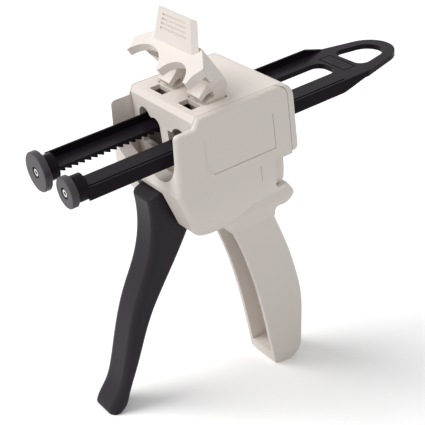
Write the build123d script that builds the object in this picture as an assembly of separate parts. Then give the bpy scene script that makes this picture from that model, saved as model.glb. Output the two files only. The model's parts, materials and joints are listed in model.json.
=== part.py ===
from build123d import *
import os
from math import cos, radians, sin, sqrt

os.makedirs("parts", exist_ok=True)

# Dispensing gun for two-barrel cartridges, all sizes in millimetres.
# The gun is drawn in its own frame first: X forward along the push rods, Y to the left,
# Z up, with the origin on the front plate, midway between the two push discs.
# At the end every piece is tipped nose-down, so that the gun stands on its trigger tip
# and on the foot of its handle, as it does on a bench.

# Stand: pitch of the rods, height of the bench and the place that goes over the origin
STAND_PITCH = 10.9
FLOOR_Z = -122.4
CENTRE_X = -32.666

# Clearances
RUNNING_FIT = 0.05
SEAM_GAP = 0.25
PART_GAP = 0.35

# Two-barrel cartridge
BARREL_SPACING = 24.0
BARREL_CUT_RADIUS = 11.5
FLANGE_SLOT = 5.5

# Push rods, discs and pull ring
DISC_FRONT_X = 53.7
DISC_THICKNESS = 3.2
DISC_CHAMFER = 0.4
LARGE_DISC_RADIUS = 8.6
SMALL_DISC_RADIUS = 6.7
BOSS_LENGTH = 4.5
BOSS_RADIUS = 5.6
ROD_INNER_Y = 6.9
ROD_OUTER_Y = 17.7
WEB_TOP = 1.2
WEB_BOTTOM = -1.1
FLANGE_TOP = 4.3
FLANGE_BOTTOM = -4.5
FLANGE_WALL = 1.5
GROOVE_WIDTH = 0.9
GROOVE_DEPTH = 0.8
ROD_EDGE_ROUND = 0.8
ARM_SLOT_END_X = -87.0
ARM_SLOT_CORNER = 5.0
RING_SHOULDER_X = -95.0
RING_END_X = -121.6
RING_RADIUS = 13.0
RING_HOLE_X = -108.0
RING_HOLE_RADIUS = 8.2
RING_HOLE_CORNER_X = -101.5
RING_HOLE_CORNER_Y = 5.5
RING_HOLE_CORNER_RADIUS = 4.3
PLATE_HALF_WIDTH = 9.0
FRAME_LINE = 0.5
FRAME_LINE_DEPTH = 0.25

# Rack under the inner edge of the right-hand rod
TOOTH_PITCH = 3.0
TOOTH_COUNT = 34
TOOTH_HEIGHT = 1.2
TOOTH_TIP_FLAT = 0.3
TOOTH_TIP_Z = -1.3
RACK_FRONT_X = 46.0
RACK_WIDTH = 3.6

# Rivets that hold the discs
RIVET_HEAD_RADIUS = 1.6
RIVET_BORE_RADIUS = 0.8
RIVET_SHANK_RADIUS = 1.2
RIVET_SHANK_LENGTH = 6.0
RIVET_POCKET_RADIUS = 2.5
RIVET_POCKET_DEPTH = 0.8
RIVET_SINK = 0.2

# Housing
HALF_WIDTH = 25.5
SIDE_WALL = 2.1
TOP_Z = 15.5
TOP_EDGE_ROUND = 1.9
FRONT_EDGE_ROUND = 2.6
REAR_CORNER_ROUND = 5.5
STEP_X = -1.5
CHEEK_TOP_Z = 11.5
CHEEK_TOP_X = 9.9
CHEEK_LOW = (12.0, -15.6)
CHEEK_LIP_HALF_WIDTH = 22.0
CHEEK_LIP_Z = 5.0
SLOT_FLOOR_Z = -16.3
FLOOR_THICKNESS = 2.0
CURVE_TOP_Z = -19.0
CURVE_LOW_Z = -40.0
CURVE_LOW_HALF_WIDTH = 18.5
SHELL_REAR_X = -44.9
SKIRT_REAR_X = -36.0
SKIRT_LIP_X = -41.6
SKIRT_LIP_Z = -30.4
SKIRT_BOTTOM_Z = -32.9
NECK_HALF_WIDTH = 12.5
TRIGGER_SLOT_HALF_WIDTH = 10.8
TRIGGER_SLOT_REAR_X = -16.0

# Fine lines on the housing's sides
PANEL_FRONT_X = -2.8
PANEL_REAR_X = -36.8
PANEL_TOP_Z = 5.0
PANEL_BOTTOM_Z = -10.8
PANEL_CORNER = 3.4
LINE_WIDTH = 0.5
LINE_DEPTH = 0.4
FAINT_LINE_DEPTH = 0.15
SHORT_LINE_X = -28.4
SHORT_LINE_TOP_Z = -16.5
SHORT_LINE_LOW_Z = -23.4

# Handle
HANDLE_HALF_WIDTH = 9.5
HANDLE_WALL = 2.2
HANDLE_BACK_BEVEL = 1.2
HANDLE_CHANNEL_TOP_Z = -54.0
HANDLE_CHANNEL_FLOOR_Z = -125.5

# Front plate and deck
DECK_THICKNESS = 2.0
PLATE_THICKNESS = 2.9
WINDOW_FRONT_X = -4.3
WINDOW_REAR_X = -9.2
WINDOW_INNER_Y = 5.8
WINDOW_OUTER_Y = 15.6
WINDOW_SHIFT_Y = 1.0
LEG_SLOT_FRONT_X = -10.2
LEG_SLOT_REAR_X = -21.6
LARGE_ARCH_RADIUS = 4.2
LARGE_ARCH_Y = -14.3
LARGE_ARCH_Z = 4.3
RACK_ARCH_RADIUS = 3.65
RACK_ARCH_Y = -6.55
RACK_ARCH_Z = 2.3
SMALL_ARCH_RADIUS = 6.9
SMALL_ARCH_LOW_Z = -9.0
SMALL_ARCH_CORNER_Y = 2.9
SMALL_ARCH_CORNER_Z = 3.6
BOSS_GAP = 0.5
FRONT_BEVEL_Z = 13.0

# Rear cap
CAP_REAR_X = -48.8
CAP_BOTTOM_Z = -16.2
CAP_TOP_ROUND = 7.0
CAP_LOW_ROUND = 2.5
ROD_HOLE_INNER_Y = 6.4
ROD_HOLE_OUTER_Y = 18.3
ROD_HOLE_TOP_Z = 4.9
ROD_HOLE_BOTTOM_Z = -5.1
TONGUE_THICKNESS = 3.0
TONGUE_LENGTH = 4.0
TONGUE_HALF_HEIGHT = 8.0

# Trigger
TRIGGER_PIVOT = (-5.0, -29.0)
TRIGGER_HALF_WIDTH = 8.0
TRIGGER_FRONT_ROUND = 3.2
TRIGGER_FRONT_MIDDLE_X = 27.0
TRIGGER_EDGE_ROUND = 2.0
TRIGGER_HUB_RADIUS = 8.0
TRIGGER_ARM_HALF_WIDTH = 5.8
TRIGGER_PIN_RADIUS = 2.5
TRIGGER_PIN_HALF_LENGTH = 15.0
PIN_BOSS_RADIUS = 5.0
SPRING_POCKET_RADIUS = 4.4

# Pawls
PAWL_Y = -8.7
PAWL_THICKNESS = 2.6
PAWL_EYE_RADIUS = 2.6
PAWL_PIN_RADIUS = 1.25
PAWL_TIP_LEAN = 1.6
DRIVE_PAWL_PIVOT = (-13.0, -14.0)
DRIVE_PAWL_TIP = (-14.2, -3.3)
HOLDING_PAWL_PIVOT = (-27.0, -11.5)
HOLDING_PAWL_TIP = (-31.6, -1.7)
HANGER_THICKNESS = 2.4
HANGER_TOP_HALF = 2.6
HANGER_LOW_HALF = 4.5

# Release lever
RELEASE_PIVOT = (-39.9, -19.4)
RELEASE_PIN_RADIUS = 1.0
RELEASE_PLATE_THICKNESS = 3.4
RELEASE_WING_THICKNESS = 1.8
RELEASE_WING_FRONT_X = -33.4
RELEASE_TOP_Z = -17.4
RELEASE_CORNER = 1.5
RELEASE_POST_INSET = 11.5
RELEASE_POST_THICKNESS = 2.0
RELEASE_POST_REACH = 6.9
RELEASE_POST_CLEAR = 3.7
RELEASE_SPRING_ROOM = 2.0

# Springs: centre radius, wire radius, turns and pitch
TRIGGER_SPRING = (3.35, 0.45, 1.2, 1.0)
PAWL_SPRING = (1.75, 0.32, 1.0, 0.75)
RELEASE_SPRING = (1.45, 0.25, 1.2, 0.7)
LEAF_THICKNESS = 0.5

# Cartridge latch, drawn closed over a cartridge and then swung open
LATCH_PIVOT = (-15.3, 12.4)
LATCH_SWING = 60.0
LATCH_PIN_RADIUS = 1.5
LATCH_EYE_RADIUS = 4.8
LATCH_FRONT_X = 8.2
LATCH_PLATE_THICKNESS = 3.8
LATCH_TIP_HALF_WIDTH = 23.0
LATCH_TIP_Z = 7.8
LARGE_BARREL_ARC = (-11.2, 2.0, 14.1)
SMALL_BARREL_ARC = (12.0, 5.7, 9.0)
LATCH_HALF_WIDTH = 25.0
LATCH_SIDE_BEND_X = -0.3
LATCH_SIDE_BEND_HALF_WIDTH = 24.0
LATCH_UNDERSIDE_Z = 15.8
LATCH_SHOULDER_Z = 16.6
LATCH_TOP_Z = 23.6
LATCH_TOP_HALF_WIDTH = 16.0
LATCH_WALL = 2.4
LATCH_LEG_FRONT_X = -9.0
LATCH_LEG_INNER_Y = 5.3
LATCH_LEG_OUTER_Y = 17.0
LATCH_REAR_LOW = (-15.0, 18.1)
LATCH_REAR_MIDDLE = (-12.2, 22.0)
LATCH_REAR_TOP_X = -7.5
HOOK_TOP = (-4.7, 16.8)
HOOK_LOW = (-6.4, 9.9)
HOOK_HEEL = (-11.5, 9.9)
HOOK_SIDE_GAP = 0.35
BAR_GAP = 0.25
POCKET_REAR_X = 4.0
POCKET_FRONT_X = 9.0
POCKET_FLOOR_Z = 7.4

# Thumb tab on the latch
TAB_ROOT = (8.2, 19.3)
TAB_LEAN = 47.7
TAB_LENGTH = 13.5
TAB_THICKNESS = 1.8
TAB_ROOT_HALF_WIDTH = 13.9
TAB_TOP_HALF_WIDTH = 11.3
TAB_END_BEVEL = 2.5
TAB_GROOVE_COUNT = 4
TAB_GROOVE_PITCH = 1.9
TAB_GROOVE_WIDTH = 0.8
TAB_GROOVE_DEPTH = 0.5
TAB_TOP_MARGIN = 2.2


# Helpers
def side_face(points):
    """Face in the XZ plane with a straight-sided outline of (x, z) points."""
    return make_face(Plane.XZ * Polyline(*points, close=True))


def side_prism(points, low_y, high_y):
    """Solid between two Y planes with a straight-sided outline of (x, z) points."""
    prism = extrude(side_face(points), amount=(high_y - low_y) / 2, both=True)
    return Pos(0, (high_y + low_y) / 2, 0) * prism


def front_prism(points, low_x, high_x):
    """Solid between two X planes with a straight-sided outline of (y, z) points."""
    face = make_face(Plane.YZ * Polyline(*points, close=True))
    prism = extrude(face, amount=(high_x - low_x) / 2, both=True)
    return Pos((high_x + low_x) / 2, 0, 0) * prism


def block(low_x, high_x, low_y, high_y, low_z, high_z):
    """Box given by its limits."""
    centre = Pos((low_x + high_x) / 2, (low_y + high_y) / 2, (low_z + high_z) / 2)
    return centre * Box(high_x - low_x, high_y - low_y, high_z - low_z)


def rod_along_x(radius, low_x, high_x, y, z=0.0):
    """Cylinder along X."""
    centre = Pos((low_x + high_x) / 2, y, z)
    return centre * Rot(0, 90, 0) * Cylinder(radius, high_x - low_x)


def rod_along_y(radius, low_y, high_y, pivot):
    """Cylinder along Y through a pivot given as (x, z)."""
    centre = Pos(pivot[0], (low_y + high_y) / 2, pivot[1])
    return centre * Rot(90, 0, 0) * Cylinder(radius, high_y - low_y)


def both_sides(solid):
    """The solid and its mirror image across the middle plane."""
    return [solid, mirror(solid, about=Plane.XZ)]


def front_outline(edges, low_x, high_x):
    """Solid between two X planes from a closed outline drawn as (y, z)."""
    face = Plane.YZ * make_face(edges)
    prism = extrude(face, amount=(high_x - low_x) / 2, both=True)
    return Pos((high_x + low_x) / 2, 0, 0) * prism


def extruded_outline(edges, half_width):
    """Solid symmetric about the middle plane from a closed outline drawn as (x, z)."""
    face = Plane.XZ * make_face(edges)
    return extrude(face, amount=half_width, both=True)


half_spacing = BARREL_SPACING / 2
disc_back_x = DISC_FRONT_X - DISC_THICKNESS
boss_back_x = disc_back_x - BOSS_LENGTH
inner_half_width = HALF_WIDTH - SIDE_WALL
insert_half_width = inner_half_width - SEAM_GAP
release_post_y = HALF_WIDTH - RELEASE_POST_INSET


# Push rods: one moulding with both rods, the pull ring and the disc bosses
def plunger_plan():
    ring = Pos(RING_END_X + RING_RADIUS, 0) * Circle(RING_RADIUS)
    shoulder = Pos(RING_SHOULDER_X + 1, 0) * Rectangle(2, 2 * ROD_OUTER_Y)
    plan = make_hull(ring.edges() + shoulder.edges())
    arm_length = boss_back_x - RING_SHOULDER_X
    plan += Pos(RING_SHOULDER_X + arm_length / 2, 0) * Rectangle(arm_length, 2 * ROD_OUTER_Y)
    slot_length = boss_back_x - ARM_SLOT_END_X + 2 * ARM_SLOT_CORNER
    slot = RectangleRounded(slot_length, 2 * ROD_INNER_Y, ARM_SLOT_CORNER)
    plan -= Pos(ARM_SLOT_END_X + slot_length / 2, 0) * slot
    hole = (Pos(RING_HOLE_X, 0) * Circle(RING_HOLE_RADIUS)).edges()
    for side in (-1, 1):
        corner = Circle(RING_HOLE_CORNER_RADIUS)
        hole += (Pos(RING_HOLE_CORNER_X, side * RING_HOLE_CORNER_Y) * corner).edges()
    return plan - make_hull(hole)


def rack_gullets():
    """Saw-tooth notches, steep on the side that faces the rear."""
    root_z = TOOTH_TIP_Z + TOOTH_HEIGHT
    low_z = TOOTH_TIP_Z - 0.1
    notches = []
    for number in range(TOOTH_COUNT):
        front_x = RACK_FRONT_X - number * TOOTH_PITCH
        rear_x = front_x - TOOTH_PITCH + TOOTH_TIP_FLAT
        outline = [(front_x, low_z), (front_x, root_z), (rear_x, low_z)]
        notches.append(side_prism(outline, -ROD_INNER_Y - RACK_WIDTH, -ROD_INNER_Y + 1))
    return notches


def plunger_rods():
    rods = Pos(0, 0, WEB_BOTTOM) * extrude(plunger_plan(), amount=WEB_TOP - WEB_BOTTOM)
    wall_y = ROD_OUTER_Y - FLANGE_WALL
    rods += side_prism(
        [
            (boss_back_x, WEB_TOP - 0.5),
            (boss_back_x, FLANGE_TOP),
            (ARM_SLOT_END_X, FLANGE_TOP),
            (RING_SHOULDER_X - 2, WEB_TOP),
            (RING_SHOULDER_X, WEB_TOP - 0.5),
        ],
        -ROD_OUTER_Y,
        -wall_y,
    )
    rods += side_prism(
        [
            (boss_back_x, WEB_BOTTOM + 0.5),
            (boss_back_x, FLANGE_BOTTOM),
            (ARM_SLOT_END_X + 7, FLANGE_BOTTOM),
            (RING_SHOULDER_X + 2, WEB_BOTTOM),
            (RING_SHOULDER_X + 3, WEB_BOTTOM + 0.5),
        ],
        wall_y,
        ROD_OUTER_Y,
    )
    long_edges = rods.edges().filter_by(lambda e: is_long_outer_edge(e))
    rods = fillet(long_edges, ROD_EDGE_ROUND)
    rods += block(
        RACK_FRONT_X - TOOTH_COUNT * TOOTH_PITCH, boss_back_x,
        -ROD_INNER_Y - RACK_WIDTH, -ROD_INNER_Y, TOOTH_TIP_Z, 0,
    )
    rods -= rack_gullets()
    rods -= block(
        ARM_SLOT_END_X + 4, boss_back_x + 1,
        wall_y - GROOVE_WIDTH, wall_y, WEB_TOP - GROOVE_DEPTH, WEB_TOP + 1,
    )
    rods -= plate_frame()
    for y in (-half_spacing, half_spacing):
        rods += rod_along_x(BOSS_RADIUS, boss_back_x - 0.5, disc_back_x, y)
    for y in (-half_spacing, half_spacing):
        shank_radius = RIVET_SHANK_RADIUS + RUNNING_FIT
        rods -= rod_along_x(shank_radius, disc_back_x - RIVET_SHANK_LENGTH - 0.5, DISC_FRONT_X, y)
    return rods


def is_long_outer_edge(edge):
    """True for the edges that run along the outside of the rods."""
    along_x = abs((edge % 0.5).X) > 0.99
    return along_x and edge.length > 50 and abs(abs(edge.center().Y) - ROD_OUTER_Y) < 0.01


def plate_frame():
    """Fine line around the bare plate between the rods and the pull ring."""
    low_x = RING_SHOULDER_X - 0.2
    high_x = ARM_SLOT_END_X - 1.6
    outer = block(
        low_x, high_x, -PLATE_HALF_WIDTH, PLATE_HALF_WIDTH, WEB_TOP - FRAME_LINE_DEPTH, WEB_TOP + 1
    )
    inner_half = PLATE_HALF_WIDTH - FRAME_LINE
    return outer - block(
        low_x + FRAME_LINE, high_x - FRAME_LINE, -inner_half, inner_half, WEB_TOP - 1, WEB_TOP + 2
    )


def push_disc(radius, y):
    disc = rod_along_x(radius, disc_back_x, DISC_FRONT_X, y)
    disc = chamfer(disc.edges().filter_by(GeomType.CIRCLE), DISC_CHAMFER)
    disc -= rod_along_x(RIVET_POCKET_RADIUS, DISC_FRONT_X - RIVET_POCKET_DEPTH, DISC_FRONT_X + 1, y)
    disc -= rod_along_x(RIVET_SHANK_RADIUS + RUNNING_FIT, disc_back_x - 1, DISC_FRONT_X, y)
    return disc


def disc_rivet(y):
    seat_x = DISC_FRONT_X - RIVET_POCKET_DEPTH
    head = rod_along_x(RIVET_HEAD_RADIUS, seat_x, DISC_FRONT_X - RIVET_SINK, y)
    shank = rod_along_x(RIVET_SHANK_RADIUS, disc_back_x - RIVET_SHANK_LENGTH, seat_x, y)
    bore = rod_along_x(RIVET_BORE_RADIUS, seat_x - 1.0, DISC_FRONT_X, y)
    return head + shank - bore


# Housing shell: side walls, cartridge cheeks, lower body, neck, tang and handle
def width_profile(inset):
    """Outline of the housing seen from the front: straight sides that curve inwards below."""
    half = HALF_WIDTH - inset
    low_half = CURVE_LOW_HALF_WIDTH - inset
    top_z = TOP_Z + 5
    bottom_z = CURVE_LOW_Z - 6
    bottom_half = low_half - 4
    edges = [
        Line((-half, top_z), (half, top_z)),
        Line((-bottom_half, bottom_z), (bottom_half, bottom_z)),
    ]
    for side in (-1, 1):
        edges += [
            Line((side * half, top_z), (side * half, CURVE_TOP_Z)),
            TangentArc((side * half, CURVE_TOP_Z), (side * low_half, CURVE_LOW_Z), tangent=(0, -1)),
            Line((side * low_half, CURVE_LOW_Z), (side * bottom_half, bottom_z)),
        ]
    return edges


def body_edges():
    """Side outline of the wide part of the housing."""
    step_foot_x = STEP_X * (CHEEK_TOP_Z - FRONT_BEVEL_Z) / (TOP_Z - FRONT_BEVEL_Z)
    skirt_top_z = CAP_BOTTOM_Z - SEAM_GAP
    return [
        Line((STEP_X, TOP_Z), (step_foot_x, CHEEK_TOP_Z)),
        Line((step_foot_x, CHEEK_TOP_Z), (CHEEK_TOP_X, CHEEK_TOP_Z)),
        Line((CHEEK_TOP_X, CHEEK_TOP_Z), CHEEK_LOW),
        Line(CHEEK_LOW, (6.8, -31.6)),
        Line((6.8, -31.6), (5.8, -34.8)),
        ThreePointArc((5.8, -34.8), (-0.6, -40.4), (-9.0, -42.0)),
        Line((-9.0, -42.0), (-14.0, -42.0)),
        Line((-14.0, -42.0), (-24.0, -34.0)),
        Line((-24.0, -34.0), (-35.0, SKIRT_BOTTOM_Z)),
        Line((-35.0, SKIRT_BOTTOM_Z), (SKIRT_LIP_X, SKIRT_BOTTOM_Z)),
        Line((SKIRT_LIP_X, SKIRT_BOTTOM_Z), (SKIRT_LIP_X, SKIRT_LIP_Z)),
        Line((SKIRT_LIP_X, SKIRT_LIP_Z), (SKIRT_REAR_X - 1.2, SKIRT_LIP_Z)),
        Line((SKIRT_REAR_X - 1.2, SKIRT_LIP_Z), (SKIRT_REAR_X, SKIRT_LIP_Z + 1.6)),
        Line((SKIRT_REAR_X, SKIRT_LIP_Z + 1.6), (SKIRT_REAR_X, skirt_top_z)),
        Line((SKIRT_REAR_X, skirt_top_z), (SHELL_REAR_X, skirt_top_z)),
        Line((SHELL_REAR_X, skirt_top_z), (SHELL_REAR_X, TOP_Z)),
        Line((SHELL_REAR_X, TOP_Z), (STEP_X, TOP_Z)),
    ]


def neck():
    """Narrow part between the wide housing and the handle, with the thumb tang."""
    edges = [
        Line((-8.0, -36.0), (-9.5, -42.5)),
        Spline((-9.5, -42.5), (-15.0, -45.2), (-19.6, -48.4), (-21.6, -53.0)),
        Line((-21.6, -53.0), (-43.9, -53.0)),
        Line((-43.9, -53.0), (-43.7, -50.8)),
        Spline(
            (-43.7, -50.8), (-44.6, -48.1), (-48.8, -48.1), (-51.9, -46.0),
            (-52.9, -43.7), (-51.5, -39.9), (-49.7, -37.2),
        ),
        Line((-49.7, -37.2), (-45.5, -36.0)),
        Line((-45.5, -36.0), (SKIRT_LIP_X + 1, -36.0)),
        Line((SKIRT_LIP_X + 1, -36.0), (SKIRT_LIP_X + 1, SKIRT_LIP_Z - 1)),
        Line((SKIRT_LIP_X + 1, SKIRT_LIP_Z - 1), (-8.0, SKIRT_LIP_Z - 1)),
        Line((-8.0, SKIRT_LIP_Z - 1), (-8.0, -36.0)),
    ]
    solid = extruded_outline(edges, NECK_HALF_WIDTH)
    narrowing = [
        (NECK_HALF_WIDTH, -20.0), (NECK_HALF_WIDTH, -44.0), (HANDLE_HALF_WIDTH, -53.0),
        (-HANDLE_HALF_WIDTH, -53.0), (-NECK_HALF_WIDTH, -44.0), (-NECK_HALF_WIDTH, -20.0),
    ]
    return solid & front_prism(narrowing, -60, 0)


def handle():
    back = Spline(
        (-43.9, -52.9), (-44.8, -55.7), (-49.9, -72.2), (-53.4, -88.4), (-54.8, -101.3),
        (-54.1, -111.9), (-52.3, -126.8),
    )
    foot = Spline((-52.3, -126.8), (-49.0, -131.9), (-43.4, -133.9), (-38.8, -133.4), (-35.6, -130.6))
    front = Spline((-35.6, -130.6), (-33.9, -112.7), (-29.3, -80.5), (-21.6, -52.9))
    face = Plane.XZ * make_face([back, foot, front, Line((-21.6, -52.9), (-43.9, -52.9))])
    solid = Pos(0, HANDLE_HALF_WIDTH, 0) * extrude(face, amount=2 * HANDLE_HALF_WIDTH)
    return chamfer(solid.edges().filter_by(is_handle_back_edge), HANDLE_BACK_BEVEL)


def is_handle_back_edge(edge):
    """True for the two long edges down the back of the handle."""
    middle = edge @ 0.5
    return edge.length > 50 and middle.X < -45 and abs(middle.Y) > 1


def handle_channel():
    """Hollow of the handle, open to the front."""
    top_z = HANDLE_CHANNEL_TOP_Z
    floor_z = HANDLE_CHANNEL_FLOOR_Z
    edges = [
        Line((-42.2, top_z), (-10.0, top_z)),
        Line((-10.0, top_z), (-10.0, floor_z)),
        Line((-10.0, floor_z), (-50.2, floor_z)),
        Spline(
            (-50.2, floor_z), (-51.9, -111.9), (-52.6, -101.3), (-51.2, -88.8),
            (-47.8, -73.0), (-42.2, top_z),
        ),
    ]
    return extruded_outline(edges, HANDLE_HALF_WIDTH - HANDLE_WALL)


def main_cavity():
    """Room inside the wide part, open at the top and at the rear."""
    floor_z = SLOT_FLOOR_Z - FLOOR_THICKNESS
    rear_x = SHELL_REAR_X - 5
    outline = [
        (rear_x, TOP_Z + 4), (-PLATE_THICKNESS, TOP_Z + 4), (-PLATE_THICKNESS, floor_z),
        (9.4, floor_z), (3.9, -33.5), (-3.0, -38.9), (-9.5, -39.8), (-13.2, -39.8),
        (-23.2, -31.8), (-35.0, SKIRT_LIP_Z), (rear_x, SKIRT_LIP_Z),
    ]
    inside = front_outline(width_profile(SIDE_WALL), -60, 20)
    return side_prism(outline, -HALF_WIDTH, HALF_WIDTH) & inside


def barrel_cuts():
    """Two round cut-outs in the front wall, open to the top."""
    cuts = []
    low_x = FLANGE_SLOT - 0.5
    for y in (-half_spacing, half_spacing):
        cuts.append(rod_along_x(BARREL_CUT_RADIUS, low_x, 20, y))
        cuts.append(
            block(low_x, 20, y - BARREL_CUT_RADIUS, y + BARREL_CUT_RADIUS, 0, CHEEK_TOP_Z + 5)
        )
    cuts.append(block(low_x, 20, -half_spacing, half_spacing, -5.0, CHEEK_TOP_Z + 5))
    return cuts


def latch_pockets():
    """Recesses in the cheeks' tops for the closed latch's tips."""
    pocket = block(
        POCKET_REAR_X, POCKET_FRONT_X, CHEEK_LIP_HALF_WIDTH - 2, inner_half_width,
        POCKET_FLOOR_Z, CHEEK_TOP_Z + 5,
    )
    return both_sides(pocket)


def engraved_line(points, depth):
    """Fine line on both sides of the housing along a run of (x, z) points."""
    half = LINE_WIDTH / 2
    strokes = []
    for (x0, z0), (x1, z1) in zip(points, points[1:]):
        length = sqrt((x1 - x0) ** 2 + (z1 - z0) ** 2)
        across = ((z1 - z0) / length * half, (x0 - x1) / length * half)
        along = ((x1 - x0) / length * half, (z1 - z0) / length * half)
        corners = [
            (x0 - along[0] + across[0], z0 - along[1] + across[1]),
            (x1 + along[0] + across[0], z1 + along[1] + across[1]),
            (x1 + along[0] - across[0], z1 + along[1] - across[1]),
            (x0 - along[0] - across[0], z0 - along[1] - across[1]),
        ]
        strokes += both_sides(side_prism(corners, HALF_WIDTH - depth, HALF_WIDTH + 1))
    return strokes


def side_lines():
    """Engraved edge of the side panels and the short line below it."""
    front_low = (PANEL_FRONT_X - PANEL_CORNER, PANEL_BOTTOM_Z)
    front_bend = (PANEL_FRONT_X, PANEL_BOTTOM_Z + PANEL_CORNER)
    rear_low = (PANEL_REAR_X, PANEL_BOTTOM_Z)
    cuts = engraved_line([(PANEL_REAR_X, PANEL_TOP_Z), rear_low, front_low], LINE_DEPTH)
    cuts += engraved_line([front_low, front_bend, (PANEL_FRONT_X, PANEL_TOP_Z)], FAINT_LINE_DEPTH)
    short = [(SHORT_LINE_X, SHORT_LINE_TOP_Z), (SHORT_LINE_X, SHORT_LINE_LOW_Z)]
    return cuts + engraved_line(short, LINE_DEPTH)


def is_front_corner(edge):
    """True for the upright edges where the front of the wide part meets its sides."""
    middle = edge @ 0.5
    upright = abs((edge % 0.5).Z) > 0.7
    return upright and middle.X > 5 and abs(middle.Y) > CURVE_LOW_HALF_WIDTH and middle.Z > -32


def is_top_edge(edge):
    """True for the outer edges along the side walls' and the cheeks' tops."""
    middle = edge @ 0.5
    across = abs((edge % 0.5).Y) > 0.1
    return middle.Z > CHEEK_TOP_Z - 0.01 and abs(middle.Y) > HALF_WIDTH - 0.5 and not across


def rear_corner_waste():
    """Material above the rounded rear top corner of the side walls."""
    centre = (SHELL_REAR_X + REAR_CORNER_ROUND, TOP_Z - REAR_CORNER_ROUND)
    waste = block(SHELL_REAR_X - 1, centre[0], -HALF_WIDTH - 1, HALF_WIDTH + 1, centre[1], TOP_Z + 1)
    return waste - rod_along_y(REAR_CORNER_ROUND, -HALF_WIDTH - 2, HALF_WIDTH + 2, centre)


def grip_housing():
    wide = extruded_outline(body_edges(), HALF_WIDTH + 1)
    wide &= front_outline(width_profile(0), -60, 20)
    wide = fillet(wide.edges().filter_by(is_front_corner), FRONT_EDGE_ROUND)
    wide = fillet(wide.edges().filter_by(is_top_edge), TOP_EDGE_ROUND)
    wide -= rear_corner_waste()
    shell = wide + neck() + handle()
    shell -= main_cavity()
    shell -= block(
        -PLATE_THICKNESS - 1, FLANGE_SLOT, -inner_half_width, inner_half_width,
        SLOT_FLOOR_Z, TOP_Z + 5,
    )
    shell -= block(
        FLANGE_SLOT - 0.5, 20, -CHEEK_LIP_HALF_WIDTH, CHEEK_LIP_HALF_WIDTH,
        CHEEK_LIP_Z, CHEEK_TOP_Z + 5,
    )
    shell -= barrel_cuts()
    shell -= latch_pockets()
    slot_half = TRIGGER_SLOT_HALF_WIDTH
    shell -= block(TRIGGER_SLOT_REAR_X, 30, -slot_half, slot_half, -60, SLOT_FLOOR_Z - FLOOR_THICKNESS)
    shell -= handle_channel()
    shell -= side_lines()
    boss = rod_along_y(PIN_BOSS_RADIUS, slot_half, HALF_WIDTH, TRIGGER_PIVOT)
    shell += both_sides(boss & front_outline(width_profile(SIDE_WALL / 2), -60, 20))
    pin_half = TRIGGER_PIN_HALF_LENGTH + PART_GAP
    shell -= rod_along_y(TRIGGER_PIN_RADIUS + RUNNING_FIT, -pin_half, pin_half, TRIGGER_PIVOT)
    shell += pawl_hanger()
    shell += release_posts()
    return shell


pawl_low_y = PAWL_Y - PAWL_THICKNESS / 2
pawl_high_y = PAWL_Y + PAWL_THICKNESS / 2
hanger_reach = PAWL_THICKNESS / 2 + PART_GAP + HANGER_THICKNESS


def pawl_hanger():
    """Two webs that carry the holding pawl's pin, standing on the housing's floor."""
    x, z = HOLDING_PAWL_PIVOT
    low_y = pawl_low_y - PART_GAP
    high_y = pawl_high_y + PART_GAP
    top_z = z + HANGER_TOP_HALF
    foot_z = SKIRT_LIP_Z - 1
    outline = [
        (x - HANGER_TOP_HALF, top_z), (x + HANGER_TOP_HALF, top_z),
        (x + HANGER_LOW_HALF, foot_z), (x - HANGER_LOW_HALF, foot_z),
    ]
    webs = side_prism(outline, low_y - HANGER_THICKNESS, low_y)
    webs += side_prism(outline, high_y, high_y + HANGER_THICKNESS)
    return webs - rod_along_y(PAWL_PIN_RADIUS + RUNNING_FIT, low_y - 5, high_y + 5, HOLDING_PAWL_PIVOT)


def release_posts():
    """Two posts behind the rear opening's lip, for the release lever's pin."""
    x, z = RELEASE_PIVOT
    half = RELEASE_PLATE_THICKNESS / 2
    outline = [
        (x - half, z + half), (x + half, z + half), (x + RELEASE_POST_REACH, z - 4.6),
        (x + RELEASE_POST_REACH, SKIRT_LIP_Z - 1), (x + RELEASE_POST_CLEAR, SKIRT_LIP_Z - 1),
        (x + RELEASE_POST_CLEAR, z - 5.1), (x - half, z - half),
    ]
    low_y = release_post_y - RELEASE_POST_THICKNESS / 2
    post = side_prism(outline, low_y, low_y + RELEASE_POST_THICKNESS)
    post -= rod_along_y(RELEASE_PIN_RADIUS + RUNNING_FIT, 0, HALF_WIDTH, RELEASE_PIVOT)
    return both_sides(post)


# Front plate and deck
def guide_block():
    plate = block(
        -PLATE_THICKNESS, 0, -insert_half_width, insert_half_width,
        SLOT_FLOOR_Z + SEAM_GAP, TOP_Z,
    )
    deck = block(
        SHELL_REAR_X, 0, -insert_half_width, insert_half_width, TOP_Z - DECK_THICKNESS, TOP_Z
    )
    solid = plate + deck
    solid -= rod_arches()
    for low_y, high_y in window_limits():
        solid -= block(WINDOW_REAR_X, WINDOW_FRONT_X, low_y, high_y, 0, TOP_Z + 1)
    slot = block(
        LEG_SLOT_REAR_X, LEG_SLOT_FRONT_X, LATCH_LEG_INNER_Y - PART_GAP, LATCH_LEG_OUTER_Y + PART_GAP,
        0, TOP_Z + 1,
    )
    solid -= both_sides(slot)
    solid += latch_hangers()
    solid -= rod_along_y(LATCH_PIN_RADIUS + RUNNING_FIT, -pin_reach, pin_reach, LATCH_PIVOT)
    rear_round = block(
        SHELL_REAR_X - 1, CAP_REAR_X + CAP_TOP_ROUND, -30, 30, TOP_Z - CAP_TOP_ROUND, TOP_Z + 1
    )
    rear_round -= rod_along_y(CAP_TOP_ROUND, -40, 40, (CAP_REAR_X + CAP_TOP_ROUND, TOP_Z - CAP_TOP_ROUND))
    solid -= rear_round
    bevel = [(STEP_X, TOP_Z), (1, TOP_Z + 1), (1, FRONT_BEVEL_Z), (0, FRONT_BEVEL_Z)]
    return solid - side_prism(bevel, -HALF_WIDTH, HALF_WIDTH)


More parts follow.
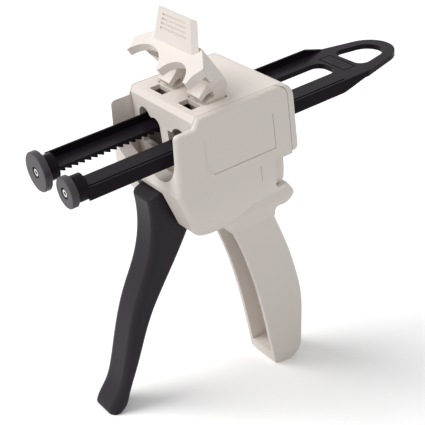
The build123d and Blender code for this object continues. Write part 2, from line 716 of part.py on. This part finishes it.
pin_reach = LATCH_LEG_OUTER_Y + PART_GAP + 3.0


def window_limits():
    """Inner and outer limits of the deck's two windows, which sit off centre."""
    right = (-WINDOW_OUTER_Y + WINDOW_SHIFT_Y, -WINDOW_INNER_Y + WINDOW_SHIFT_Y)
    left = (WINDOW_INNER_Y + WINDOW_SHIFT_Y, WINDOW_OUTER_Y + WINDOW_SHIFT_Y)
    return [right, left]


def rod_arches():
    """Openings of the front plate: one for each rod, the rack and the discs' bosses."""
    low_x = -PLATE_THICKNESS - 1
    high_x = 1
    base_z = SMALL_ARCH_LOW_Z
    arches = [
        rod_along_x(LARGE_ARCH_RADIUS, low_x, high_x, LARGE_ARCH_Y, LARGE_ARCH_Z),
        block(
            low_x, high_x, LARGE_ARCH_Y - LARGE_ARCH_RADIUS, LARGE_ARCH_Y + LARGE_ARCH_RADIUS,
            base_z, LARGE_ARCH_Z,
        ),
        rod_along_x(RACK_ARCH_RADIUS, low_x, high_x, RACK_ARCH_Y, RACK_ARCH_Z),
        block(
            low_x, high_x, LARGE_ARCH_Y, RACK_ARCH_Y + RACK_ARCH_RADIUS, base_z, RACK_ARCH_Z
        ),
        rod_along_x(SMALL_ARCH_RADIUS, low_x, high_x, half_spacing),
        block(
            low_x, high_x, half_spacing - SMALL_ARCH_RADIUS, ROD_OUTER_Y + 1.0, base_z, 0
        ),
        block(
            low_x, high_x, SMALL_ARCH_CORNER_Y, half_spacing - 5.5, base_z, SMALL_ARCH_CORNER_Z
        ),
    ]
    for y in (-half_spacing, half_spacing):
        arches.append(rod_along_x(BOSS_RADIUS + BOSS_GAP, low_x, high_x, y))
    return arches


def latch_hangers():
    """Blocks under the deck that carry the latch's pin."""
    x, z = LATCH_PIVOT
    under_deck_z = TOP_Z - DECK_THICKNESS
    outline = [
        (x - 3.4, under_deck_z + 0.5), (x + 3.4, under_deck_z + 0.5), (x + 2.2, z - 3.0), (x - 2.2, z - 3.0),
    ]
    middle_half = LATCH_LEG_INNER_Y - PART_GAP
    hangers = side_prism(outline, -middle_half, middle_half)
    outer = side_prism(outline, LATCH_LEG_OUTER_Y + PART_GAP, pin_reach)
    return [hangers] + both_sides(outer)


def is_cap_outer_edge(edge):
    """True for the edges around the back face of the rear cap and along its top and bottom."""
    middle = edge @ 0.5
    on_side = abs(abs(middle.Y) - HALF_WIDTH) < 0.01 and abs((edge % 0.5).Y) < 0.1
    return on_side and middle.X < SHELL_REAR_X + REAR_CORNER_ROUND - 0.01


def rear_cap():
    """Cap over the housing's open rear, with two ears over the side walls' rounded corners."""
    seam_x = SHELL_REAR_X - SEAM_GAP
    front_x = SHELL_REAR_X + REAR_CORNER_ROUND
    low_corner = (CAP_REAR_X + CAP_LOW_ROUND, CAP_BOTTOM_Z)
    top_bend = (CAP_REAR_X + CAP_TOP_ROUND, TOP_Z)
    rear_bend = (CAP_REAR_X, TOP_Z - CAP_TOP_ROUND)
    edges = [
        Line((front_x, TOP_Z), (front_x, CAP_BOTTOM_Z)),
        Line((front_x, CAP_BOTTOM_Z), low_corner),
        RadiusArc(low_corner, (CAP_REAR_X, CAP_BOTTOM_Z + CAP_LOW_ROUND), CAP_LOW_ROUND),
        Line((CAP_REAR_X, CAP_BOTTOM_Z + CAP_LOW_ROUND), rear_bend),
        RadiusArc(rear_bend, top_bend, CAP_TOP_ROUND),
        Line(top_bend, (front_x, TOP_Z)),
    ]
    solid = extruded_outline(edges, HALF_WIDTH)
    solid = fillet(solid.edges().filter_by(is_cap_outer_edge), TOP_EDGE_ROUND)
    ear_centre = (front_x, TOP_Z - REAR_CORNER_ROUND)
    reach = HALF_WIDTH + 1
    solid -= block(seam_x, front_x + 1, -reach, reach, CAP_BOTTOM_Z - 1, ear_centre[1])
    solid -= rod_along_y(REAR_CORNER_ROUND + SEAM_GAP, -reach, reach, ear_centre)
    solid -= block(seam_x, front_x + 1, -inner_half_width, inner_half_width, 0, TOP_Z + 5)
    hole = block(
        CAP_REAR_X - 5, 0, ROD_HOLE_INNER_Y, ROD_HOLE_OUTER_Y, ROD_HOLE_BOTTOM_Z, ROD_HOLE_TOP_Z
    )
    solid -= both_sides(hole)
    tongue = block(
        seam_x - 0.5, seam_x + TONGUE_LENGTH, insert_half_width - TONGUE_THICKNESS, insert_half_width,
        -TONGUE_HALF_HEIGHT, TONGUE_HALF_HEIGHT,
    )
    return solid + both_sides(tongue)


# Trigger, its pin and return spring
def is_trigger_side_edge(edge):
    """True for the edges around the blade's two flat sides."""
    return abs(abs((edge @ 0.5).Y) - TRIGGER_HALF_WIDTH) < 0.01


def is_trigger_front_edge(edge):
    """True for the two long edges down the front of the blade."""
    return is_trigger_side_edge(edge) and edge.length > 80 and (edge @ 0.5).X > TRIGGER_FRONT_MIDDLE_X


def trigger():
    front = Spline(
        (15.9, -21.8), (15.6, -26.9), (16.5, -37.7), (19.1, -47.0), (21.8, -53.1), (27.8, -63.7),
        (33.3, -75.6), (37.5, -87.4), (41.4, -98.8), (44.6, -105.2), (50.2, -112.4), (51.4, -115.6),
    )
    rear = Spline(
        (45.5, -115.6), (42.2, -113.0), (40.8, -110.1), (33.8, -96.1), (23.5, -75.2), (13.8, -61.4),
        (4.2, -48.5), (-3.0, -37.5),
    )
    edges = [
        front,
        ThreePointArc((51.4, -115.6), (48.7, -116.4), (45.5, -115.6)),
        rear,
        Line((-3.0, -37.5), (-4.0, -24.0)),
        Line((-4.0, -24.0), (10.0, -19.5)),
        Line((10.0, -19.5), (15.9, -21.8)),
    ]
    blade = extruded_outline(edges, TRIGGER_HALF_WIDTH)
    blade = fillet(blade.edges().filter_by(is_trigger_front_edge), TRIGGER_FRONT_ROUND)
    blade = fillet(blade.edges().filter_by(is_trigger_side_edge), TRIGGER_EDGE_ROUND)
    half = TRIGGER_ARM_HALF_WIDTH
    hub = rod_along_y(TRIGGER_HUB_RADIUS, -half, half, TRIGGER_PIVOT)
    arm = side_prism(
        [(-12.5, -32.0), (-16.2, -15.2), (-14.2, -10.9), (-10.6, -11.6), (-5.4, -22.0), (0, -29.0)],
        -half, half,
    )
    solid = blade + hub + arm
    pocket = rod_along_y(SPRING_POCKET_RADIUS, half, TRIGGER_HALF_WIDTH + 1, TRIGGER_PIVOT)
    solid -= both_sides(pocket)
    solid -= rod_along_y(PAWL_PIN_RADIUS, -half - 1, half + 1, DRIVE_PAWL_PIVOT)
    return solid - rod_along_y(TRIGGER_PIN_RADIUS + RUNNING_FIT, -30, 30, TRIGGER_PIVOT)


# Springs
def coil(spring, pivot, start_y):
    """Spring coil along Y."""
    radius, wire, turns, pitch = spring
    path = Helix(pitch=pitch, height=pitch * turns, radius=radius)
    section = Plane(origin=path @ 0, z_dir=path % 0) * Circle(wire)
    return Pos(pivot[0], start_y, pivot[1]) * Rot(90, 0, 0) * sweep(section, path=path)


# Pawls
def pawl(pivot, tip):
    """Flat finger from its eye to a pointed tip."""
    outline = [
        (pivot[0] + PAWL_EYE_RADIUS - 0.2, pivot[1]), (tip[0] + 2.0, tip[1] - 3.2), tip,
        (tip[0] - PAWL_TIP_LEAN, tip[1] - 2.6), (pivot[0] - PAWL_EYE_RADIUS + 0.2, pivot[1] + 0.5),
    ]
    solid = side_prism(outline, pawl_low_y, pawl_high_y)
    solid += rod_along_y(PAWL_EYE_RADIUS, pawl_low_y, pawl_high_y, pivot)
    return solid - rod_along_y(PAWL_PIN_RADIUS + RUNNING_FIT, pawl_low_y - 1, pawl_high_y + 1, pivot)


# Release lever: a plate across the rear opening with two wings inside the housing's walls
def release_lever():
    x = RELEASE_PIVOT[0]
    rear_x = x - RELEASE_PLATE_THICKNESS / 2
    plate_front_x = x + RELEASE_PLATE_THICKNESS / 2
    low_z = SKIRT_LIP_Z + PART_GAP + 0.3
    front_x = RELEASE_WING_FRONT_X
    corner = RELEASE_CORNER
    outline = [
        (rear_x, RELEASE_TOP_Z), (front_x, RELEASE_TOP_Z), (front_x, low_z + 4),
        (front_x - 2, low_z), (rear_x + corner, low_z), (rear_x, low_z + corner),
    ]
    inset = SIDE_WALL + PART_GAP
    solid = side_prism(outline, -HALF_WIDTH, HALF_WIDTH)
    solid &= front_outline(width_profile(inset), -60, 0)
    inside = front_outline(width_profile(inset + RELEASE_WING_THICKNESS), plate_front_x, 0)
    solid -= inside
    post_half = RELEASE_POST_THICKNESS / 2 + PART_GAP
    notch = block(
        rear_x - 1, 0, release_post_y - post_half, release_post_y + post_half + RELEASE_SPRING_ROOM,
        RELEASE_PIVOT[1] - 5.5, RELEASE_TOP_Z + 1,
    )
    solid -= both_sides(notch)
    bore_half = release_pin_half + PART_GAP
    return solid - rod_along_y(RELEASE_PIN_RADIUS + RUNNING_FIT, -bore_half, bore_half, RELEASE_PIVOT)


release_pin_half = release_post_y + RELEASE_POST_THICKNESS / 2 + RELEASE_SPRING_ROOM + 2.6


# Cartridge latch
def latch_plate():
    """Front plate with two round cut-outs that sit over the cartridge's barrels."""
    half = LATCH_HALF_WIDTH
    tip = LATCH_TIP_HALF_WIDTH
    top = LATCH_TOP_HALF_WIDTH
    bend_z = CHEEK_TOP_Z + PART_GAP
    outline = [
        (-tip, LATCH_TIP_Z), (tip, LATCH_TIP_Z), (tip, bend_z), (half, LATCH_UNDERSIDE_Z),
        (half, LATCH_SHOULDER_Z), (top, LATCH_TOP_Z), (-top, LATCH_TOP_Z),
        (-half, LATCH_SHOULDER_Z), (-half, LATCH_UNDERSIDE_Z), (-tip, bend_z),
    ]
    back_x = LATCH_FRONT_X - LATCH_PLATE_THICKNESS
    plate = front_prism(outline, back_x, LATCH_FRONT_X)
    for y, z, radius in (LARGE_BARREL_ARC, SMALL_BARREL_ARC):
        plate -= rod_along_x(radius, back_x - 1, LATCH_FRONT_X + 1, y, z)
    return plate


def latch_hood():
    """Roof and side walls between the front plate and the legs."""
    half = LATCH_HALF_WIDTH
    top = LATCH_TOP_HALF_WIDTH
    front_view = [
        (-half, LATCH_UNDERSIDE_Z), (half, LATCH_UNDERSIDE_Z), (half, LATCH_SHOULDER_Z),
        (top, LATCH_TOP_Z), (-top, LATCH_TOP_Z), (-half, LATCH_SHOULDER_Z),
    ]
    side_view = [
        Line((LATCH_FRONT_X - 1, LATCH_UNDERSIDE_Z), (LATCH_FRONT_X - 1, LATCH_TOP_Z)),
        Line((LATCH_FRONT_X - 1, LATCH_TOP_Z), (LATCH_REAR_TOP_X, LATCH_TOP_Z)),
        ThreePointArc((LATCH_REAR_TOP_X, LATCH_TOP_Z), LATCH_REAR_MIDDLE, LATCH_REAR_LOW),
        Line(LATCH_REAR_LOW, (LATCH_REAR_LOW[0], LATCH_UNDERSIDE_Z)),
        Line((LATCH_REAR_LOW[0], LATCH_UNDERSIDE_Z), (LATCH_FRONT_X - 1, LATCH_UNDERSIDE_Z)),
    ]
    plan = [
        (LATCH_FRONT_X, half), (LATCH_SIDE_BEND_X, LATCH_SIDE_BEND_HALF_WIDTH),
        (LATCH_LEG_FRONT_X, LATCH_LEG_OUTER_Y), (LATCH_REAR_LOW[0] - 1, LATCH_LEG_OUTER_Y),
    ]
    plan += [(x, -y) for x, y in reversed(plan)]
    hood = extruded_outline(side_view, half)
    hood &= front_prism(front_view, -40, LATCH_FRONT_X)
    hood &= extrude(make_face(Polyline(*plan, close=True)), amount=LATCH_TOP_Z + 5)
    inner_top = LATCH_TOP_Z - LATCH_WALL
    front_room = [
        (-half + LATCH_WALL, 0), (half - LATCH_WALL, 0), (half - LATCH_WALL, LATCH_SHOULDER_Z),
        (top - 1, inner_top), (-top + 1, inner_top), (-half + LATCH_WALL, LATCH_SHOULDER_Z),
    ]
    hood -= front_prism(front_room, LATCH_SIDE_BEND_X - 1, LATCH_FRONT_X - LATCH_PLATE_THICKNESS)
    hood -= block(
        -40, LATCH_SIDE_BEND_X, -LATCH_LEG_INNER_Y, LATCH_LEG_INNER_Y, 0, inner_top - 1
    )
    return hood


def latch_legs():
    """Two legs with the hinge's eyes and the hooks that drop into the deck's windows."""
    x, z = LATCH_PIVOT
    outline = [
        HOOK_TOP, HOOK_LOW, HOOK_HEEL, (x, z), (x - LATCH_EYE_RADIUS * cos(radians(20)), z + 1.6),
        (-18.6, 15.9), LATCH_REAR_LOW, (-11.0, 20.0), (HOOK_TOP[0], 20.0),
    ]
    inner = LATCH_LEG_INNER_Y
    outer = LATCH_LEG_OUTER_Y
    legs = both_sides(side_prism(outline, inner, outer))
    eyes = both_sides(rod_along_y(LATCH_EYE_RADIUS, inner, outer, LATCH_PIVOT))
    solid = legs[0] + eyes[0] + legs[1] + eyes[1]
    solid -= bar_channel()
    for low_y, high_y in ((-outer - 1, -inner + 1), (inner - 1, outer + 1)):
        window = window_limits()[0 if low_y < 0 else 1]
        waste = block(LEG_SLOT_FRONT_X, 0, low_y, high_y, 0, LATCH_UNDERSIDE_Z)
        waste -= block(-30, 5, window[0] + HOOK_SIDE_GAP, window[1] - HOOK_SIDE_GAP, -5, TOP_Z + 5)
        solid -= waste
    return solid


def bar_channel():
    """Curved gap between eye and hook, which clears the deck's bar behind the windows."""
    x, z = LATCH_PIVOT
    near = LEG_SLOT_FRONT_X - x
    far = WINDOW_REAR_X - x
    under = TOP_Z - DECK_THICKNESS - z
    over = TOP_Z - z
    low_radius = sqrt(near**2 + min(abs(under), over) ** 2) - BAR_GAP
    high_radius = sqrt(far**2 + over**2) + BAR_GAP
    ring = rod_along_y(high_radius, -30, 30, LATCH_PIVOT) - rod_along_y(low_radius, -31, 31, LATCH_PIVOT)
    sector = side_prism(
        [(x, z), (x + 6.6, z + 4.1), (x + 14.0, z), (x + 14.0, z - 14.0), (x, z - 14.0)], -30, 30
    )
    return ring & sector


def tab_plane():
    """Plane of the tab's ribbed face, with Y across the latch and the other axis up the tab."""
    lean = radians(TAB_LEAN)
    return Plane(
        origin=(TAB_ROOT[0], 0, TAB_ROOT[1]),
        x_dir=(0, 1, 0),
        z_dir=(-cos(lean), 0, sin(lean)),
    )


def thumb_tab():
    """Tab that leans forward from the top of the closed latch, with grooves for the thumb."""
    plane = tab_plane()
    root = TAB_ROOT_HALF_WIDTH
    top = TAB_TOP_HALF_WIDTH
    length = TAB_LENGTH
    bevel = TAB_END_BEVEL

    def panel(root_half, top_half):
        corners = [(-root_half, 0), (root_half, 0), (top_half, up * length), (-top_half, up * length)]
        return make_face(Polyline(*corners, close=True))

    up = 1 if (plane.y_dir.Z > 0) else -1
    front = plane * panel(root, top)
    back = plane.offset(TAB_THICKNESS) * panel(root + bevel, top + bevel)
    tab = loft([front, back], ruled=True)
    for number in range(TAB_GROOVE_COUNT):
        along = length - TAB_TOP_MARGIN - number * TAB_GROOVE_PITCH
        half = 8.1 + 0.45 * number
        groove = Box(2 * half, TAB_GROOVE_WIDTH, 2 * TAB_GROOVE_DEPTH)
        tab -= plane * (Pos(0, up * along, 0) * groove)
    return tab


def swung_open(solid):
    pivot = Pos(LATCH_PIVOT[0], 0, LATCH_PIVOT[1])
    back = Pos(-LATCH_PIVOT[0], 0, -LATCH_PIVOT[1])
    return pivot * Rot(0, -LATCH_SWING, 0) * back * solid


def cartridge_latch():
    solid = latch_plate() + latch_hood() + latch_legs() + thumb_tab()
    solid -= rod_along_y(LATCH_PIN_RADIUS + RUNNING_FIT, -30, 30, LATCH_PIVOT)
    return swung_open(solid)


# Stand on the bench and write one file for each piece
def standing(solid, trim=False):
    """Tip a piece nose-down and set the floor to Z = 0, with the middle of the gun over the origin."""
    solid = Rot(0, STAND_PITCH, 0) * solid
    if trim:
        solid -= block(-200, 200, -60, 60, FLOOR_Z - 20, FLOOR_Z)
    return Pos(-CENTRE_X, 0, -FLOOR_Z) * solid


x, z = HOLDING_PAWL_PIVOT
holding_leaf = block(
    x + 3.05, x + 3.05 + LEAF_THICKNESS, pawl_low_y + 0.1, pawl_high_y - 0.1, SKIRT_LIP_Z - 1, z + 1.0
)
latch_leaf = block(
    LATCH_PIVOT[0] - 12.2, LATCH_PIVOT[0] - 5.65, LATCH_LEG_INNER_Y + 6, LATCH_LEG_INNER_Y + 10,
    TOP_Z - DECK_THICKNESS - 0.05 - LEAF_THICKNESS, TOP_Z - DECK_THICKNESS - 0.05,
)
trigger_spring_y = TRIGGER_HALF_WIDTH + 0.1
release_spring_y = release_post_y + RELEASE_POST_THICKNESS / 2 + 1.4

pieces = {
    "grip_housing": standing(grip_housing(), trim=True),
    "guide_block": standing(guide_block()),
    "rear_cap": standing(rear_cap()),
    "twin_plunger": standing(plunger_rods()),
    "large_disc": standing(push_disc(LARGE_DISC_RADIUS, -half_spacing)),
    "small_disc": standing(push_disc(SMALL_DISC_RADIUS, half_spacing)),
    "large_disc_rivet": standing(disc_rivet(-half_spacing)),
    "small_disc_rivet": standing(disc_rivet(half_spacing)),
    "trigger": standing(trigger(), trim=True),
    "trigger_pin": standing(
        rod_along_y(TRIGGER_PIN_RADIUS, -TRIGGER_PIN_HALF_LENGTH, TRIGGER_PIN_HALF_LENGTH, TRIGGER_PIVOT)
    ),
    "trigger_spring": standing(coil(TRIGGER_SPRING, TRIGGER_PIVOT, trigger_spring_y)),
    "drive_pawl": standing(pawl(DRIVE_PAWL_PIVOT, DRIVE_PAWL_TIP)),
    "drive_pawl_pin": standing(
        rod_along_y(PAWL_PIN_RADIUS, pawl_low_y, TRIGGER_ARM_HALF_WIDTH, DRIVE_PAWL_PIVOT)
    ),
    "drive_pawl_spring": standing(coil(PAWL_SPRING, DRIVE_PAWL_PIVOT, -TRIGGER_ARM_HALF_WIDTH - 0.4)),
    "holding_pawl": standing(pawl(HOLDING_PAWL_PIVOT, HOLDING_PAWL_TIP)),
    "holding_pawl_pin": standing(
        rod_along_y(PAWL_PIN_RADIUS, PAWL_Y - hanger_reach, PAWL_Y + hanger_reach, HOLDING_PAWL_PIVOT)
    ),
    "holding_pawl_spring": standing(holding_leaf),
    "release_lever": standing(release_lever()),
    "release_pin": standing(
        rod_along_y(RELEASE_PIN_RADIUS, -release_pin_half, release_pin_half, RELEASE_PIVOT)
    ),
    "release_spring": standing(coil(RELEASE_SPRING, RELEASE_PIVOT, release_spring_y)),
    "cartridge_latch": standing(cartridge_latch()),
    "latch_pin": standing(rod_along_y(LATCH_PIN_RADIUS, -pin_reach, pin_reach, LATCH_PIVOT)),
    "latch_detent": standing(latch_leaf),
}

for name, solid in pieces.items():
    export_step(solid, f"parts/{name}.step")
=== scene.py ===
import json
import math

import bpy
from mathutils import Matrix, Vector

# Dispensing tool for two-barrel cartridges, on a pale bench.
# Metres, in the same frame as the CAD: +X forwards, +Y to the left of the user, +Z up.

# Camera, at the photograph's viewing angle
CAMERA_PLACE = (0.278598, 0.378169, 0.291018)
CAMERA_TURN_DEG = (65.82823, -2.34158, 145.35310)
CAMERA_LENS_MM = 99.363
SENSOR_MM = 36.0

# Moulding and metal colours, linear
IVORY = (0.815, 0.750, 0.695)
IVORY_DEEP = (0.740, 0.670, 0.590)
IVORY_DEEP_SHARE = 0.06
BLACK = (0.0090, 0.0060, 0.0095)
BLACK_DUSTY = (0.0140, 0.0105, 0.0150)
DISC_GREY = (0.050, 0.043, 0.052)
GRIP_GREY = (0.0230, 0.0180, 0.0250)
GRIP_WORN = (0.0330, 0.0270, 0.0350)
STEEL = (0.520, 0.510, 0.490)
RIVET = (0.720, 0.690, 0.640)

# Gloss of each finish: roughness, and the strength of the plastics' own reflection
IVORY_ROUGHNESS = 0.42
IVORY_SHINE = 0.50
BLACK_ROUGHNESS = 0.28
BLACK_SHINE = 0.05
DISC_ROUGHNESS = 0.40
DISC_SHINE = 0.30
GRIP_ROUGHNESS = 0.36
GRIP_SHINE = 0.12
RIVET_ROUGHNESS = 0.25
PIN_ROUGHNESS = 0.35
SPRING_ROUGHNESS = 0.30

# Moulded grain: repeats per metre, octaves, and heights in metres
GRAIN_SCALE = 1800.0
GRAIN_DETAIL = 3.0
DRIFT_SCALE = 22.0
DRIFT_DETAIL = 2.0
SMOOTH_GRAIN = 0.00001
FINE_GRAIN = 0.00002
GRIP_GRAIN = 0.00003

# Bench
FLOOR_SIZE = 3.0
FLOOR_COLOUR = (0.80, 0.80, 0.80)
FLOOR_AS_SEEN = (1.24, 1.24, 1.24)

# Light: an even studio and one soft key from the front and above
WORLD_LEVEL = 0.49
WORLD_AS_SEEN = 1.0
KEY_FROM = (0.64, -0.28, 0.71)
KEY_STRENGTH = 2.0
KEY_SOFTNESS_DEG = 40.0


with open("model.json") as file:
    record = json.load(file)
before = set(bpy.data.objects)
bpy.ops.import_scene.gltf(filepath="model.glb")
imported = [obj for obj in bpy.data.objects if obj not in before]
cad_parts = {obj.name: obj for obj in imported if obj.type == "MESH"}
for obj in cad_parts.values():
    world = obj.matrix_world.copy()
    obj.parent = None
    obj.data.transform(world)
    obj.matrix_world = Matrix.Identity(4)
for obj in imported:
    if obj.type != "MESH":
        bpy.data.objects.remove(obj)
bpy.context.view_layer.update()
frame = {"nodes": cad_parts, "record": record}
nodes = frame["nodes"]
slot_of = {row["node"]: row["material_slot"] for row in frame["record"]["subparts"]}


def new_group(name, inputs, outputs):
    """Node group with float inputs, given as (name, default), and float outputs, given by name."""
    group = bpy.data.node_groups.new(name, "ShaderNodeTree")
    for label, default in inputs:
        socket = group.interface.new_socket(name=label, in_out="INPUT", socket_type="NodeSocketFloat")
        socket.default_value = default
    for label in outputs:
        group.interface.new_socket(name=label, in_out="OUTPUT", socket_type="NodeSocketFloat")
    entry = group.nodes.new("NodeGroupInput")
    leave = group.nodes.new("NodeGroupOutput")
    return group, entry, leave


def moulded_grain_group():
    """Fine spark-eroded texture as a height, and a slow drift of tone as a mask."""
    group, entry, leave = new_group(
        "moulded_grain",
        [("Grain Scale", GRAIN_SCALE), ("Drift Scale", DRIFT_SCALE)],
        ["Height", "Drift"],
    )
    coords = group.nodes.new("ShaderNodeTexCoord")
    for scale_input, detail, result in (
        ("Grain Scale", GRAIN_DETAIL, "Height"),
        ("Drift Scale", DRIFT_DETAIL, "Drift"),
    ):
        noise = group.nodes.new("ShaderNodeTexNoise")
        noise.inputs["Detail"].default_value = detail
        group.links.new(coords.outputs["Object"], noise.inputs["Vector"])
        group.links.new(entry.outputs[scale_input], noise.inputs["Scale"])
        group.links.new(noise.outputs["Fac"], leave.inputs[result])
    return group


MOULDED_GRAIN = moulded_grain_group()


def plastic(name, colour, second, roughness, grain_height, shine):
    """Moulded plastic: two close tones, fine grain and a plain gloss."""
    material = bpy.data.materials.new(name)
    material.use_nodes = True
    tree = material.node_tree
    shader = tree.nodes["Principled BSDF"]
    grain = tree.nodes.new("ShaderNodeGroup")
    grain.node_tree = MOULDED_GRAIN
    tones = tree.nodes.new("ShaderNodeMix")
    tones.data_type = "RGBA"
    tones.inputs["A"].default_value = (*colour, 1.0)
    tones.inputs["B"].default_value = (*second, 1.0)
    tree.links.new(grain.outputs["Drift"], tones.inputs["Factor"])
    tree.links.new(tones.outputs["Result"], shader.inputs["Base Color"])
    bump = tree.nodes.new("ShaderNodeBump")
    bump.inputs["Strength"].default_value = 1.0
    bump.inputs["Distance"].default_value = grain_height
    tree.links.new(grain.outputs["Height"], bump.inputs["Height"])
    tree.links.new(bump.outputs["Normal"], shader.inputs["Normal"])
    shader.inputs["Roughness"].default_value = roughness
    shader.inputs["Specular IOR Level"].default_value = shine
    return material


def metal(name, colour, roughness):
    """Plain bright metal for rivets, pins and springs."""
    material = bpy.data.materials.new(name)
    material.use_nodes = True
    shader = material.node_tree.nodes["Principled BSDF"]
    shader.inputs["Base Color"].default_value = (*colour, 1.0)
    shader.inputs["Metallic"].default_value = 1.0
    shader.inputs["Roughness"].default_value = roughness
    return material


ivory_near = tuple(a * (1.0 - IVORY_DEEP_SHARE) + b * IVORY_DEEP_SHARE for a, b in zip(IVORY, IVORY_DEEP))
finishes = {
    "ivory_housing": plastic("ivory_housing", IVORY, ivory_near, IVORY_ROUGHNESS, FINE_GRAIN, IVORY_SHINE),
    "black_plastic": plastic("black_plastic", BLACK, BLACK_DUSTY, BLACK_ROUGHNESS, FINE_GRAIN, BLACK_SHINE),
    "disc_plastic": plastic("disc_plastic", DISC_GREY, DISC_GREY, DISC_ROUGHNESS, SMOOTH_GRAIN, DISC_SHINE),
    "dark_grip": plastic("dark_grip", GRIP_GREY, GRIP_WORN, GRIP_ROUGHNESS, GRIP_GRAIN, GRIP_SHINE),
    "rivet_metal": metal("rivet_metal", RIVET, RIVET_ROUGHNESS),
    "pin_steel": metal("pin_steel", STEEL, PIN_ROUGHNESS),
    "spring_steel": metal("spring_steel", STEEL, SPRING_ROUGHNESS),
}

for node_name, obj in nodes.items():
    obj.data.materials.clear()
    obj.data.materials.append(finishes[slot_of[node_name]])


def add_camera():
    data = bpy.data.cameras.new("camera")
    data.lens = CAMERA_LENS_MM
    data.sensor_width = SENSOR_MM
    camera = bpy.data.objects.new("camera", data)
    camera.location = CAMERA_PLACE
    camera.rotation_euler = [math.radians(a) for a in CAMERA_TURN_DEG]
    bpy.context.scene.collection.objects.link(camera)
    bpy.context.scene.camera = camera


def seen_rays(tree):
    """Socket that is 1 for camera, glossy and transmission rays, and 0 for the rest."""
    light_path = tree.nodes.new("ShaderNodeLightPath")
    result = light_path.outputs["Is Camera Ray"]
    for ray in ("Is Glossy Ray", "Is Transmission Ray"):
        larger = tree.nodes.new("ShaderNodeMath")
        larger.operation = "MAXIMUM"
        tree.links.new(result, larger.inputs[0])
        tree.links.new(light_path.outputs[ray], larger.inputs[1])
        result = larger.outputs[0]
    return result


def bench_white():
    """Plain white for bounced light, and for the camera a white that clips wherever full light falls."""
    material = bpy.data.materials.new("bench_white")
    material.use_nodes = True
    tree = material.node_tree
    tree.nodes.clear()
    plain = tree.nodes.new("ShaderNodeBsdfDiffuse")
    plain.inputs["Color"].default_value = (*FLOOR_COLOUR, 1.0)
    shown = tree.nodes.new("ShaderNodeBsdfDiffuse")
    shown.inputs["Color"].default_value = (*FLOOR_AS_SEEN, 1.0)
    choice = tree.nodes.new("ShaderNodeMixShader")
    leave = tree.nodes.new("ShaderNodeOutputMaterial")
    tree.links.new(seen_rays(tree), choice.inputs["Fac"])
    tree.links.new(plain.outputs["BSDF"], choice.inputs[1])
    tree.links.new(shown.outputs["BSDF"], choice.inputs[2])
    tree.links.new(choice.outputs["Shader"], leave.inputs["Surface"])
    return material


def add_bench():
    half = FLOOR_SIZE / 2
    corners = [(-half, -half, 0), (half, -half, 0), (half, half, 0), (-half, half, 0)]
    mesh = bpy.data.meshes.new("bench")
    mesh.from_pydata(corners, [], [(0, 1, 2, 3)])
    mesh.materials.append(bench_white())
    bench = bpy.data.objects.new("bench", mesh)
    bpy.context.scene.collection.objects.link(bench)


def add_studio():
    """Even white surroundings, shown at full white and lighting the object at a plain level."""
    world = bpy.data.worlds.new("studio")
    bpy.context.scene.world = world
    world.use_nodes = True
    tree = world.node_tree
    background = tree.nodes["Background"]
    background.inputs["Color"].default_value = (1.0, 1.0, 1.0, 1.0)
    strength = tree.nodes.new("ShaderNodeMapRange")
    strength.inputs["To Min"].default_value = WORLD_LEVEL
    strength.inputs["To Max"].default_value = WORLD_AS_SEEN
    tree.links.new(seen_rays(tree), strength.inputs["Value"])
    tree.links.new(strength.outputs["Result"], background.inputs["Strength"])


def add_key_light():
    data = bpy.data.lights.new("key", "SUN")
    data.energy = KEY_STRENGTH
    data.angle = math.radians(KEY_SOFTNESS_DEG)
    lamp = bpy.data.objects.new("key", data)
    lamp.rotation_euler = Vector(KEY_FROM).to_track_quat("Z", "Y").to_euler()
    bpy.context.scene.collection.objects.link(lamp)


add_camera()
add_bench()
add_studio()
add_key_light()

bpy.context.scene.view_settings.view_transform = "Standard"
